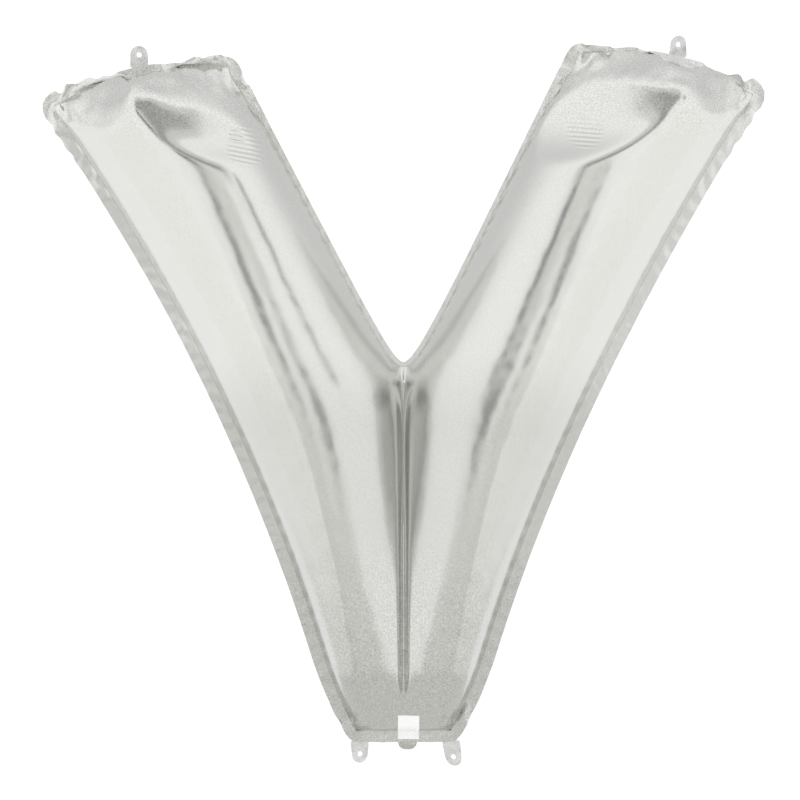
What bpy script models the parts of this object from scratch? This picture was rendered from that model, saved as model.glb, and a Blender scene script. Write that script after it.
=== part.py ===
"""Letter V foil balloon: two crowned foil panels welded round a flat hem,
four punched hanging tabs and a fill neck that curls back under the foot.

Metres, +Z up. The front faces -Y and the welded seam lies in the plane y = 0.
The origin is the middle of the foot's hem edge.
"""
import math

import bmesh
import bpy
import numpy as np
from mathutils import Vector

# Outline of the flat hem, seen from the front; half widths are from the middle
TOP_HEIGHT = 0.967          # highest point of an arm's end
TOP_CREST_X = 0.260         # where along the arm's end that point lies
TOP_BOW = 1.05              # fall of the arm's end either side of the crest, 1/m
FOOT_HALF_WIDTH = 0.0947    # outer edge extended to the foot
WAIST_HALF_WIDTH = 0.2564   # outer edge at the waist's height
EAR_HALF_WIDTH = 0.504      # outer edge at the ear's height
WAIST_HEIGHT = 0.450
EAR_HEIGHT = 0.890
FOOT_TUCK = 0.020           # how far the foot's corners draw in
FOOT_TUCK_HEIGHT = 0.130    # height over which they do
NOTCH_HEIGHT = 0.532        # bottom of the gap between the arms
NOTCH_SLOPE = 0.500         # sideways run of the gap's edge for each metre up
NOTCH_ROUND = 0.036         # how soft the gap's bottom is

# Foil, hem and seam
HEM_WIDTH = 0.016           # hem's edge to the weld line
NOTCH_HEM_WIDTH = 0.007     # the same inside the gap, where it is trimmed close
NOTCH_HEM_WIDENS = (0.86, 0.93)     # heights over which the gap's hem widens to the full width
HEM_LAP = 0.004             # how far the hem reaches in under the panels' rims
WALL = 0.002                # foil wall of the solids
HEM_THICKNESS = 0.002
SEAT_GAP = 0.0003           # gap between pieces that touch
RIM_Y = HEM_THICKNESS / 2 + SEAT_GAP

# Swell of the panels
HALF_DEPTH = 0.097          # seam plane to the crown of an arm
LOBE_FULLNESS = (2.1, 0.80)     # how broad a lobe's crest is, and how steeply it meets the weld
FOOT_TAPER = 0.095          # length of the foot over which it closes to its end weld
FOOT_DEPTH_SHARE = 0.90     # the foot's lobes are a little lower at the bottom
FOOT_FULL_HEIGHT = 0.300    # height at which they reach full depth
VALLEY_SLOPE = 0.280        # the middle valley runs out from the notch as a taut line
VALLEY_BOW = 0.170          # and flattens a little on its way down, 1/m
VALLEY_FILL = 0.90          # its most, as a share of the lobes' depth
VALLEY_FLAT = 0.10          # how round its bottom is, as a share of the way to the crest
VALLEY_FLAT_FROM = 0.06     # distance from the notch at which it is so
VALLEY_SOFT = 0.010         # rounding where the valley meets the lobes' crowns
CREST_ARM = 0.56            # where across an arm's end the crest lies, from the outer edge
CREST_FOOT = 0.41
CREST_SHIFTS = (0.45, 0.95)     # share of the way up over which the crest moves across

# How an arm closes to its end weld: the length it takes, along the weld
#                    x       length
CLOSING = {"left": ((-0.520, 0.100),
                    (-0.420, 0.100),
                    (-0.385, 0.075),
                    (-0.3675, 0.045),
                    (-0.345, 0.075),
                    (-0.305, 0.128),
                    (-0.245, 0.150),
                    (-0.100, 0.150)),
           "right": ((0.100, 0.140),
                     (0.240, 0.140),
                     (0.290, 0.130),
                     (0.340, 0.095),
                     (0.370, 0.070),
                     (0.3945, 0.048),
                     (0.415, 0.075),
                     (0.450, 0.100),
                     (0.520, 0.100))}

# A flattish facet under each closing, nearly square to the viewer: its middle and how it falls away
#                   x      z      depth   aside   upwards
FACETS = {"left": (-0.337, 0.857, 0.0870, 0.165, 0.21),
          "right": (0.373, 0.868, 0.0870, -0.180, 0.21)}
FACET_CURVE = 1.3           # how fast it turns away towards the gap, 1/m
FACET_LIFT = 5.0            # how fast it rises clear of the film below, 1/m
FACET_SOFT = 0.003

# The right arm's end sits a little over the middle height, and the left's as much under it
SIDE_RISE = 0.009
SIDE_RISE_FROM = (0.53, 0.95)       # heights over which it comes in

# Grid that the panels are shaped on, and the rows and columns of it that the solids keep
SHOULDER_HEIGHT = 0.400     # outer end of the row that starts at the notch
ACROSS = 36
FOOT_ROWS = 44
ARM_ROWS = 60
RELAX_PASSES = 60
BEND_ROWS = 30              # rows either side of the junction whose depth is evened out
BEND_PASSES = 8
EDGE_GATHER = 0.05          # how far columns gather towards the welds
INNER_SPREAD = 1.5          # how far rows gather towards the notch
KEPT_COLUMNS = (0, 1, 2, 4, *range(6, 32, 2), 32, 33, 34, 35, 36)
KEPT_ROWS = (0, 1, 2, 4, 6, *range(8, 93, 3), 94, 96, 98, 100, 101, 102, 103, 104)

# Hanging tabs
TAB_THICKNESS = 0.002
TAB_WIDTH = 0.025
TAB_HOLE_RADIUS = 0.0036
TAB_TIP_SEGMENTS = 10
TAB_ROOT_SHARES = (-1, -0.33, 0.33, 1)      # points along half the root's width, either way
TAB_ROOT_ROUND = 0.98       # the root's bead, as a share of a full half round
#        name                x       length  sideways lean of the tip
TABS = (("tab_top_left",    -0.370,  0.029,  0.000),
        ("tab_top_right",    0.384,  0.029,  0.001),
        ("tab_bottom_left", -0.0615, 0.030,  0.001),
        ("tab_bottom_right", 0.0665, 0.034,  0.005))

# Fill neck, a flat sleeve that drops from the foot and curls back
NECK_X = 0.0056
NECK_WIDTH = 0.028
NECK_DROP = 0.005
NECK_CURL_RADIUS = 0.008
NECK_CURL_DEGREES = 112
NECK_TAIL = 0.024
PLY_THICKNESS = 0.001
FILM_THICKNESS = 0.0006
FILM_SHOWS = 0.004          # valve film past the neck's mouth
FILM_WIDTH = 0.022
CURL_STEPS = 8


MERGE = 0.00001             # points closer than this are one


def material(name, colour, roughness, metallic):
    """A plain Principled material."""
    made = bpy.data.materials.new(name)
    made.use_nodes = True
    shader = made.node_tree.nodes["Principled BSDF"]
    shader.inputs["Base Color"].default_value = (*colour, 1.0)
    shader.inputs["Roughness"].default_value = roughness
    shader.inputs["Metallic"].default_value = metallic
    return made


def finish_object(name, bm, surface, smooth_degrees=40):
    """Turn a bmesh into a named object with its material and smooth shading."""
    bmesh.ops.recalc_face_normals(bm, faces=bm.faces[:])
    if bm.calc_volume(signed=True) < 0:
        bmesh.ops.reverse_faces(bm, faces=bm.faces[:])
    mesh = bpy.data.meshes.new(name)
    bm.to_mesh(mesh)
    bm.free()
    mesh.materials.append(surface)
    mesh.shade_smooth()
    mesh.set_sharp_from_angle(angle=math.radians(smooth_degrees))
    made = bpy.data.objects.new(name, mesh)
    bpy.context.scene.collection.objects.link(made)
    return made


# Outline curves; inset moves each one in from the hem's edge

def outer_x(z, inset):
    """Half width of the outer edge at height z."""
    rise = (WAIST_HALF_WIDTH - FOOT_HALF_WIDTH) / WAIST_HEIGHT
    rise_above = (EAR_HALF_WIDTH - WAIST_HALF_WIDTH) / (EAR_HEIGHT - WAIST_HEIGHT)
    flare = (rise_above - rise) / EAR_HEIGHT
    lean = rise - flare * WAIST_HEIGHT
    tuck = FOOT_TUCK * max(0.0, 1 - z / FOOT_TUCK_HEIGHT) ** 2
    slope = lean + 2 * flare * z
    edge = FOOT_HALF_WIDTH + lean * z + flare * z * z - tuck
    return edge - inset * math.hypot(1, slope)


def notch_x(z, inset):
    """Half width of the gap between the arms at height z."""
    up = max(0.0, z - (NOTCH_HEIGHT - inset))
    softness = NOTCH_ROUND + inset * (math.hypot(1, NOTCH_SLOPE) / NOTCH_SLOPE - 1)
    return NOTCH_SLOPE * math.sqrt(up * up + 2 * up * softness)


def top_z(x, inset):
    """Height of an arm's end at half width x."""
    return TOP_HEIGHT - inset - TOP_BOW * (x - TOP_CREST_X) ** 2


def corner_height(edge_x, inset):
    """Height at which an edge running up meets the arm's end."""
    low, high = NOTCH_HEIGHT, TOP_HEIGHT
    for _ in range(40):
        middle = (low + high) / 2
        if middle < top_z(edge_x(middle, inset), inset):
            low = middle
        else:
            high = middle
    return low


def notch_hem(z):
    """Width of the hem along the gap at height z."""
    return NOTCH_HEM_WIDTH + (HEM_WIDTH - NOTCH_HEM_WIDTH) * ramp(z, *NOTCH_HEM_WIDENS)


def coons(low, high, left, right, u, v):
    """Point of the patch between four edges, each given as a function."""
    straight = low(u) * (1 - v) + high(u) * v + left(v) * (1 - u) + right(v) * u
    corners = (low(0) * (1 - v) + high(0) * v) * (1 - u) + (low(1) * (1 - v) + high(1) * v) * u
    return straight - corners


def block_edges(block, welded, lap):
    """Low, high, outer and inner edge of the left half's foot or arm.

    They follow the hem's edge (welded 0) or its weld line (welded 1), drawn in by lap.
    """
    inset = HEM_WIDTH * welded + lap

    def gap_x(z):
        return notch_x(z, notch_hem(z) * welded + lap)

    shoulder = Vector((-outer_x(SHOULDER_HEIGHT, inset), SHOULDER_HEIGHT))
    notch = Vector((0.0, NOTCH_HEIGHT - NOTCH_HEM_WIDTH * welded - lap))
    if block == "foot":
        def low(u):
            return Vector((-outer_x(inset, inset) * (1 - u), inset))

        def high(u):
            return shoulder.lerp(notch, u)

        def outer(v):
            z = inset + (SHOULDER_HEIGHT - inset) * v
            return Vector((-outer_x(z, inset), z))

        def inner(v):
            return Vector((0.0, inset)).lerp(notch, v)
        return low, high, outer, inner

    ear = corner_height(outer_x, inset)
    inner_corner = corner_height(notch_x, inset)

    def low(u):
        return shoulder.lerp(notch, u)

    def high(u):
        x = outer_x(ear, inset) * (1 - u) + notch_x(inner_corner, inset) * u
        return Vector((-x, top_z(x, inset)))

    def outer(v):
        z = SHOULDER_HEIGHT + (ear - SHOULDER_HEIGHT) * v
        return Vector((-outer_x(z, inset), z))

    def inner(v):
        z = notch.y + (inner_corner - notch.y) * v ** INNER_SPREAD
        return Vector((-gap_x(z), z))
    return low, high, outer, inner


def half_outline(welded, lap):
    """Left half of the outline, from the foot's middle round to the notch."""
    foot = block_edges("foot", welded, lap)
    arm = block_edges("arm", welded, lap)
    across = [column / ACROSS for column in KEPT_COLUMNS]
    foot_rows = [row / FOOT_ROWS for row in KEPT_ROWS if row <= FOOT_ROWS]
    arm_rows = [(row - FOOT_ROWS) / ARM_ROWS for row in KEPT_ROWS if row > FOOT_ROWS]
    points = [foot[0](u) for u in reversed(across)]
    points += [foot[2](v) for v in foot_rows[1:]]
    points += [arm[2](v) for v in arm_rows]
    points += [arm[1](u) for u in across[1:]]
    points += [arm[3](v) for v in reversed([0.0] + arm_rows[:-1])]
    return points


def ramp(value, start, end):
    """0 below start, 1 above end, smooth between."""
    share = min(1.0, max(0.0, (value - start) / (end - start)))
    return share * share * (3 - 2 * share)


def side_rise(x, z):
    """Lift of the right arm's end over the left's."""
    return math.copysign(SIDE_RISE, x) * ramp(z, *SIDE_RISE_FROM)


def taper(distance, length):
    """Share of full depth at a distance from an end weld."""
    return lobe(min(1.0, max(0.0, 1 - distance / length)))


def lobe(reach):
    """Depth of a lobe, 1 at its crest (reach 0) and 0 at its weld (reach 1)."""
    breadth, steepness = LOBE_FULLNESS
    return (1 - reach ** breadth) ** steepness


def along_table(table, x):
    """Value of a two-column table at x, straight between its rows."""
    for (start, low), (stop, high) in zip(table, table[1:]):
        if x <= stop:
            return low + (high - low) * min(1.0, max(0.0, (x - start) / (stop - start)))
    return table[-1][1]


def facet_depth(x, z):
    """Depth of the facet's surface."""
    side = "left" if x < 0 else "right"
    middle_x, middle_z, depth, aside, upward = FACETS[side]
    turned = (x - middle_x) * math.copysign(1, -middle_x)
    curve = FACET_CURVE * max(0.0, turned) ** 2
    clear = FACET_LIFT * max(0.0, middle_z - z) ** 2
    return depth - aside * (x - middle_x) - upward * (z - middle_z) - curve + clear


def softer_least(one, other, softness):
    """The smaller of two depths, rounded where they cross."""
    return (one + other - math.hypot(one - other, softness)) / 2


def inner_rise(share, flat):
    """Rise from the inner edge of a row (0) to its crest (1): steep from a weld, flat from the valley."""
    if flat:
        share = (math.hypot(share, flat) - flat) / (math.hypot(1, flat) - flat)
    return lobe(1 - share)


def foot_depth(z):
    """Depth of the foot's lobes at height z."""
    narrow = FOOT_DEPTH_SHARE + (1 - FOOT_DEPTH_SHARE) * ramp(z, 0.0, FOOT_FULL_HEIGHT)
    return HALF_DEPTH * narrow * taper(z - HEM_WIDTH, FOOT_TAPER)


def swell(u, row, x, z):
    """Depth of a panel in front of the seam plane, at share u across a row of its grid."""
    notch_weld = NOTCH_HEIGHT - NOTCH_HEM_WIDTH
    floor = flat = 0.0
    if row <= FOOT_ROWS:
        depth = foot_depth(z)
        down = (notch_weld - HEM_WIDTH) * (1 - row / FOOT_ROWS)
        floor = VALLEY_SLOPE * down - VALLEY_BOW * down * down
        floor = softer_least(floor, VALLEY_FILL * foot_depth(notch_weld - down), VALLEY_SOFT)
        flat = VALLEY_FLAT * ramp(down, 0.0, VALLEY_FLAT_FROM)
    else:
        closing = along_table(CLOSING["left" if x < 0 else "right"], x)
        depth = HALF_DEPTH * taper(top_z(abs(x), HEM_WIDTH) - z, closing)
    crest = CREST_FOOT + (CREST_ARM - CREST_FOOT) * ramp(row / (FOOT_ROWS + ARM_ROWS), *CREST_SHIFTS)
    if u < crest:
        depth *= lobe(1 - u / crest)
    else:
        floor = min(max(0.0, floor), depth)
        depth = floor + (depth - floor) * inner_rise((1 - u) / (1 - crest), flat)
    if row > FOOT_ROWS:
        depth = max(0.0, softer_least(depth, facet_depth(x, z), FACET_SOFT))
    return depth


def ease_bend(depths):
    """Even out the depth along each column of the grid, where the arms join the foot."""
    for reach in range(BEND_ROWS):
        low, high = FOOT_ROWS - reach, FOOT_ROWS + reach + 1
        for _ in range(BEND_PASSES):
            middle, before, after = depths[low:high], depths[low - 1:high - 1], depths[low + 1:high + 1]
            eased = (2 * middle + before + after) / 4
            eased[:, 0] = middle[:, 0]
            upper = max(0, FOOT_ROWS - low)
            eased[upper:, -1] = middle[upper:, -1]
            depths[low:high] = eased


def flat_grid():
    """Left half of the panel between its welds, as rows of even, relaxed points, laid flat."""
    rows = FOOT_ROWS + ARM_ROWS
    edges = {block: block_edges(block, 1, 0.0) for block in ("foot", "arm")}
    points = np.zeros((rows + 1, ACROSS + 1, 2))
    for row in range(rows + 1):
        for column in range(ACROSS + 1):
            u = column / ACROSS
            u = u - EDGE_GATHER * math.sin(2 * math.pi * u)
            if row <= FOOT_ROWS:
                points[row, column] = coons(*edges["foot"], u, row / FOOT_ROWS)
            else:
                points[row, column] = coons(*edges["arm"], u, (row - FOOT_ROWS) / ARM_ROWS)
    for _ in range(RELAX_PASSES):
        around = (points[:-2, 1:-1] + points[2:, 1:-1] + points[1:-1, :-2] + points[1:-1, 2:]) / 4
        points[1:-1, 1:-1] = (points[1:-1, 1:-1] + around) / 2
    return points


def swelled_half(side):
    """One half of the panel: its flat places and the depth at each, -1 the left half and 1 the right."""
    points = flat_grid()
    depths = np.zeros(points.shape[:2])
    for row, places in enumerate(points):
        line = places[-1] - places[0]
        for column, place in enumerate(places):
            u = min(1.0, max(0.0, (place - places[0]).dot(line) / line.dot(line)))
            depths[row, column] = swell(u, row, -side * place[0], place[1])
    ease_bend(depths)
    return points, depths


def panel(name, facing, surface):
    """One crowned foil panel; facing is -1 for the front and 1 for the back."""
    bm = bmesh.new()
    for side in (-1, 1):
        points, depths = swelled_half(side)
        rows = []
        for row in KEPT_ROWS:
            made = []
            for column in KEPT_COLUMNS:
                x, z = points[row, column]
                x *= -side
                place = (x, facing * (RIM_Y + depths[row, column]), z + side_rise(x, z))
                made.append(bm.verts.new(place))
            rows.append(made)
        for below, above in zip(rows, rows[1:]):
            for left in range(len(KEPT_COLUMNS) - 1):
                bm.faces.new((below[left], below[left + 1], above[left + 1], above[left]))
    bmesh.ops.remove_doubles(bm, verts=bm.verts[:], dist=MERGE)
    bmesh.ops.recalc_face_normals(bm, faces=bm.faces[:])
    if sum(face.normal.y for face in bm.faces) * facing < 0:
        bmesh.ops.reverse_faces(bm, faces=bm.faces[:])
    bmesh.ops.solidify(bm, geom=bm.faces[:], thickness=WALL)
    for vert in bm.verts:
        vert.co.y = facing * max(RIM_Y, vert.co.y * facing)
    return finish_object(name, bm, surface)


def seam_hem(surface):
    """The flat welded margin all round, from its edge to just inside the weld."""
    bm = bmesh.new()
    loops = []
    for welded, lap in ((0, 0.0), (1, HEM_LAP)):
        left = half_outline(welded, lap)
        right = [Vector((-point.x, point.y)) for point in reversed(left[1:-1])]
        loops.append([bm.verts.new((p.x, -HEM_THICKNESS / 2, p.y + side_rise(p.x, p.y))) for p in left + right])
    count = len(loops[0])
    for here in range(count):
        after = (here + 1) % count
        bm.faces.new((loops[0][here], loops[0][after], loops[1][after], loops[1][here]))
    pushed = bmesh.ops.extrude_face_region(bm, geom=bm.faces[:])["geom"]
    moved = [item for item in pushed if isinstance(item, bmesh.types.BMVert)]
    bmesh.ops.translate(bm, verts=moved, vec=(0, HEM_THICKNESS, 0))
    return finish_object("seam_hem", bm, surface)


def tab_frame(x):
    """Hinge line's middle, its direction along the hem, and the way out, for a tab at x."""
    bead = HEM_THICKNESS / 2 + SEAT_GAP
    if abs(x) > TOP_CREST_X:
        slope = -2 * TOP_BOW * (abs(x) - TOP_CREST_X) * math.copysign(1, x)
        along = Vector((1, 0, slope)).normalized()
        z = top_z(abs(x), 0.0)
        edge = Vector((x, 0, z + side_rise(x, z)))
        square_out = Vector((-along.z, 0, along.x))
        return edge + square_out * bead, along, Vector((0, 0, 1))
    return Vector((x, 0, -bead)), Vector((1, 0, 0)), Vector((0, 0, -1))


def hanging_tab(name, x, length, lean, surface):
    """A punched tongue with a round tip; its root is a bead on the hinge line."""
    middle, along, out = tab_frame(x)
    radius = TAB_WIDTH / 2
    straight = length - radius
    tip_centre = middle + out * straight + Vector((lean, 0, 0))
    outline = []
    for step in range(TAB_TIP_SEGMENTS + 1):
        angle = math.pi * step / TAB_TIP_SEGMENTS
        outline.append(tip_centre + Vector((1, 0, 0)) * radius * math.cos(angle) + out * radius * math.sin(angle))
    square_in = along.cross(Vector((0, 1, 0)))
    if square_in.dot(out) > 0:
        square_in.negate()
    root_line = middle + square_in * TAB_THICKNESS / 2
    for share in TAB_ROOT_SHARES:
        outline.append(root_line + along * radius * share)
    bm = bmesh.new()
    outer = [bm.verts.new(p) for p in outline]
    inner = []
    for p in outline:
        ray = (p - tip_centre).normalized()
        inner.append(bm.verts.new(tip_centre + ray * TAB_HOLE_RADIUS))
    count = len(outer)
    for here in range(count):
        after = (here + 1) % count
        bm.faces.new((outer[here], outer[after], inner[after], inner[here]))
    bmesh.ops.translate(bm, verts=bm.verts[:], vec=(0, -TAB_THICKNESS / 2, 0))
    pushed = bmesh.ops.extrude_face_region(bm, geom=bm.faces[:])["geom"]
    moved = [item for item in pushed if isinstance(item, bmesh.types.BMVert)]
    bmesh.ops.translate(bm, verts=moved, vec=(0, TAB_THICKNESS, 0))
    bmesh.ops.recalc_face_normals(bm, faces=bm.faces[:])

    def on_root(vert):
        return abs((vert.co - root_line).dot(square_in)) < MERGE

    root_edges = [edge for edge in bm.edges
                  if all(on_root(vert) for vert in edge.verts)
                  and abs(edge.verts[0].co.y - edge.verts[1].co.y) < MERGE]
    bmesh.ops.bevel(bm, geom=root_edges, offset=TAB_THICKNESS / 2 * TAB_ROOT_ROUND, offset_type="OFFSET",
                    segments=3, profile=0.5, affect="EDGES", material=-1)
    return finish_object(name, bm, surface)


def neck_path(offset, extra):
    """Points of one layer's middle line, seen from the side, as (y, z)."""
    radius = NECK_CURL_RADIUS + offset
    points = [Vector((-offset, -SEAT_GAP)), Vector((-offset, -NECK_DROP))]
    centre = Vector((NECK_CURL_RADIUS, -NECK_DROP))
    for step in range(1, CURL_STEPS + 1):
        angle = math.radians(NECK_CURL_DEGREES) * step / CURL_STEPS
        points.append(centre + Vector((-math.cos(angle), -math.sin(angle))) * radius)
    turn = math.radians(NECK_CURL_DEGREES)
    heading = Vector((math.sin(turn), -math.cos(turn)))
    points.append(points[-1] + heading * (NECK_TAIL + extra))
    return points


def neck_layer(name, offset, thickness, width, extra, surface):
    """One layer of the fill neck: its side view drawn across the width."""
    near = neck_path(offset + thickness / 2, extra)
    far = neck_path(offset - thickness / 2, extra)
    bm = bmesh.new()
    front = [bm.verts.new((NECK_X - width / 2, p.x, p.y)) for p in near]
    back = [bm.verts.new((NECK_X - width / 2, p.x, p.y)) for p in far]
    for here in range(len(front) - 1):
        bm.faces.new((front[here], front[here + 1], back[here + 1], back[here]))
    pushed = bmesh.ops.extrude_face_region(bm, geom=bm.faces[:])["geom"]
    moved = [item for item in pushed if isinstance(item, bmesh.types.BMVert)]
    bmesh.ops.translate(bm, verts=moved, vec=(width, 0, 0))
    return finish_object(name, bm, surface)


def main():
    for old in list(bpy.data.objects):
        bpy.data.objects.remove(old)
    foil = material("foil", (0.80, 0.80, 0.78), 0.20, 1.0)
    hem_foil = material("hem_foil", (0.76, 0.76, 0.74), 0.28, 1.0)
    tab_film = material("tab_film", (0.80, 0.81, 0.80), 0.25, 0.4)
    neck_foil = material("neck_foil", (0.80, 0.80, 0.78), 0.30, 1.0)
    valve_film = material("valve_film", (0.90, 0.91, 0.90), 0.20, 0.0)

    panel("front_panel", -1, foil)
    panel("back_panel", 1, foil)
    seam_hem(hem_foil)
    for name, x, length, lean in TABS:
        hanging_tab(name, x, length, lean, tab_film)
    ply_offset = FILM_THICKNESS / 2 + SEAT_GAP + PLY_THICKNESS / 2
    neck_layer("neck_front_ply", ply_offset, PLY_THICKNESS, NECK_WIDTH, 0.0, neck_foil)
    neck_layer("neck_back_ply", -ply_offset, PLY_THICKNESS, NECK_WIDTH, 0.0, neck_foil)
    neck_layer("valve_film", 0.0, FILM_THICKNESS, FILM_WIDTH, FILM_SHOWS, valve_film)


main()
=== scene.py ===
import math

import bmesh
import bpy
from mathutils import Matrix, Vector, noise


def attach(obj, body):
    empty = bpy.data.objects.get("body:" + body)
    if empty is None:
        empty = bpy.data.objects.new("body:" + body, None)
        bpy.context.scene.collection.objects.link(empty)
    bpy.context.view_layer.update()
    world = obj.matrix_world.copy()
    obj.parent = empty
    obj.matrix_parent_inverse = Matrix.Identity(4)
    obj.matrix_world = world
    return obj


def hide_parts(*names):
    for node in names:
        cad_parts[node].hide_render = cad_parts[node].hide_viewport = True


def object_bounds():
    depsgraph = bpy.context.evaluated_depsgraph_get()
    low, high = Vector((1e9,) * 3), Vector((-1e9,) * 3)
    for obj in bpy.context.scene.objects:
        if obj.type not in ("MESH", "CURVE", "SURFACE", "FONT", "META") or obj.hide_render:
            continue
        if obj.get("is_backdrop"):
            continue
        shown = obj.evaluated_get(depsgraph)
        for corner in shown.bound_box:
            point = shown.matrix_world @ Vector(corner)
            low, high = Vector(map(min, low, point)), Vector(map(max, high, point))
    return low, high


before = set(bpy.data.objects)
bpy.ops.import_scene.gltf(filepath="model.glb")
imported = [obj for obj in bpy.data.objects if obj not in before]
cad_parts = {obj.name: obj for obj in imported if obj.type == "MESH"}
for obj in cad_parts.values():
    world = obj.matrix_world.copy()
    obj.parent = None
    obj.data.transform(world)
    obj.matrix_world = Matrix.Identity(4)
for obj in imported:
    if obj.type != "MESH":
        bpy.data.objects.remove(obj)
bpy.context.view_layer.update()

# The photograph's frame: metres per pixel at the seam's plane, and the seam plane's zero
PIXEL = 0.0014
ZERO_X, ZERO_Z = 403.5, 742
PHOTO_SIZE = 800

# Outline of the flat hem, as the solids have it
TOP_HEIGHT = 0.967
TOP_CREST_X = 0.260
TOP_BOW = 1.05
FOOT_HALF_WIDTH = 0.0947
WAIST_HALF_WIDTH = 0.2564
EAR_HALF_WIDTH = 0.504
WAIST_HEIGHT = 0.450
EAR_HEIGHT = 0.890
FOOT_TUCK = 0.020
FOOT_TUCK_HEIGHT = 0.130
NOTCH_HEIGHT = 0.532
NOTCH_SLOPE = 0.500
NOTCH_ROUND = 0.036
SHOULDER_HEIGHT = 0.400
HEM_WIDTH = 0.016
NOTCH_HEM_WIDTH = 0.007     # the hem is trimmed close inside the gap
NOTCH_HEM_WIDENS = (0.86, 0.93)     # heights over which it widens to the full width
CORNER_STEPS = 40           # halvings that find where two edges meet

# Swell of the film
HALF_DEPTH = 0.097
FOOT_TAPER = 0.095
LOBE_FULLNESS = (2.1, 0.80)  # how broad a lobe's crest is, and how it meets the weld
FOOT_DEPTH_SHARE = 0.90     # the foot is narrower, so its lobes are lower
FOOT_FULL_HEIGHT = 0.300
VALLEY_SLOPE = 0.280        # the middle valley runs out from the notch as a taut line
VALLEY_BOW = 0.170          # and flattens a little on its way down, 1/m
VALLEY_FILL = 0.90          # its most, as a share of the lobes' depth
VALLEY_SOFT = 0.01          # how softly it comes to that
VALLEY_FLAT = 0.14          # how round its bottom is, as a share of the way to the crest
VALLEY_FLAT_FROM = 0.06     # distance from the notch at which it is so
PINCH_DEPTH = 0.010         # a fold along the middle of the valley
PINCH_HALF_WIDTH = 0.0050
PINCH_ENDS = ((0.05, 0.12), (0.50, 0.53))    # heights over which it starts and stops
CREST_ARM = {"left": 0.585, "right": 0.56}      # where across a row the crest lies
CREST_FOOT = 0.41
CREST_SHIFTS = (0.45, 0.95)     # shares of the way up over which it moves from one to the other

# Scalloped lobes of the hem at the ears
LOBE_PITCH = 0.026
LOBE_START = 0.9            # where in a lobe the ear's corner lies, in radians
LOBE_MIDDLE = 0.5           # share of a lobe's height at which the hem has its usual width
LOBE_DEPTH = 0.55
LOBE_REACH = (0.05, 0.11)   # distances from the ear over which they die out
MITRE_LIMIT = 0.93          # sharper corners of the hem are not drawn out to a mitre

# How an arm closes to its end weld: the length it takes, along the weld.
# It is short at one crease, by the hanging tab.
#             x       length
CLOSING = {"left": ((-0.520, 0.100),
                    (-0.420, 0.100),
                    (-0.385, 0.075),
                    (-0.3675, 0.052),
                    (-0.345, 0.075),
                    (-0.305, 0.128),
                    (-0.245, 0.150),
                    (-0.100, 0.150)),
           "right": ((0.100, 0.140),
                     (0.240, 0.140),
                     (0.290, 0.130),
                     (0.340, 0.095),
                     (0.370, 0.070),
                     (0.3945, 0.060),
                     (0.415, 0.075),
                     (0.450, 0.100),
                     (0.520, 0.100))}

# A flattish facet under each closing, nearly square to the viewer
#           x       z     depth  fall to the side  fall upwards
FACETS = {"left": (-0.330, 0.857, 0.0870, 0.165, 0.21),
          "right": (0.377, 0.868, 0.0870, -0.180, 0.21)}
FACET_CURVE = 1.3           # how fast it turns away towards the gap, 1/m
FACET_SOFT = 0.003
FACET_LIFT = 8.0            # how fast it rises clear of the film below, 1/m

# Grid of the film
ACROSS = 36
FOOT_ROWS = 44
ARM_ROWS = 60
HEM_RINGS = 3
RELAX_PASSES = 60
EDGE_GATHER = 0.08          # how far columns gather towards the welds
NOTCH_GATHER = 1.5          # how strongly an arm's rows gather towards the notch
BEND_ROWS = 30              # rows each way that are evened out where the arms join the foot
BEND_PASSES = 8
MIRROR_NEAR = 0.0001        # points closer than this are one, where the halves meet
FILMS_NEAR = 0.00001        # and where the front meets the back
SEAM_NEAR = 1e-6            # how near the seam plane such a point lies

# Inflation: where the film is slack, and how firmly it keeps to the swelled shape
FRAMES = 24
PRESSURE = 10.0
SPARE_MOST = 0.16           # spare film at an arm's end weld, as a share of its width
FOOT_SPARE = 0.5            # share of that at the foot's weld
HEM_SPARE = 0.12            # share of it that the hem has anywhere
END_ZONE = 0.05
FOOT_ZONE = 0.05
EDGE_ZONE = 0.05
CORNER_ZONE = 0.05
ARM_ZONE = (0.1, 0.2)       # heights above the shoulder over which an arm's end starts to count
FAR_OFF = 1.0               # stands for an edge that is nowhere near
HOLD_BODY = 0.90
HOLD_EDGE = 0.50
HOLD_END = 0.35
HOLD_CORNER = 0.50
HOLD_HEM = 0.9              # share of the film's hold that the hem has
HOLD_STIFFNESS = 5.0
FILM_STEPS = 6              # sums for each frame
FILM_MASS = 0.01
FILM_STRETCH = 60
FILM_SHEAR = 30
FILM_BEND = 2.0
FILM_DAMPING = 5
FILM_BEND_DAMPING = 0.5
AIR_DAMPING = 4
RIPPLE = 0.0004             # unevenness that starts the puckers
RIPPLE_PITCH = 0.018
SIDE_RISE = 0.009           # the right arm's end sits this much higher, the left one lower
SIDE_RISE_FROM = (0.53, 0.95)

# Film thickness
PANEL_THICKNESS = 0.0004
HEM_THICKNESS = 0.0006
INWARD, BOTH_WAYS = -1, 0   # to which side of a piece's faces its thickness goes
RIM_ANGLE = 60              # a cut edge is crisp, the film itself smooth

# Hanging tabs: thin tongues with a punched hole, crumpled and a little turned about their length
TAB_WIDTH = 0.025
TAB_HOLE_RADIUS = 0.0036
TAB_SEGMENTS = 40
TAB_RINGS = 7
TAB_LAP = 0.002             # how far a tab's root reaches in over the hem
TAB_THICKNESS = 0.0003
TAB_CRUMPLE = 0.0030
TAB_CRUMPLE_PITCH = 0.011
TAB_CRUMPLE_APART = 50      # keeps the four tabs' crumples different
TAB_TURNED_BY = 0.8         # share of the length over which a tab comes to its turn
ROOT_WELD_REACH = (0.020, 0.036)    # the hem lies flat this near a tab's or the neck's root
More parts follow.
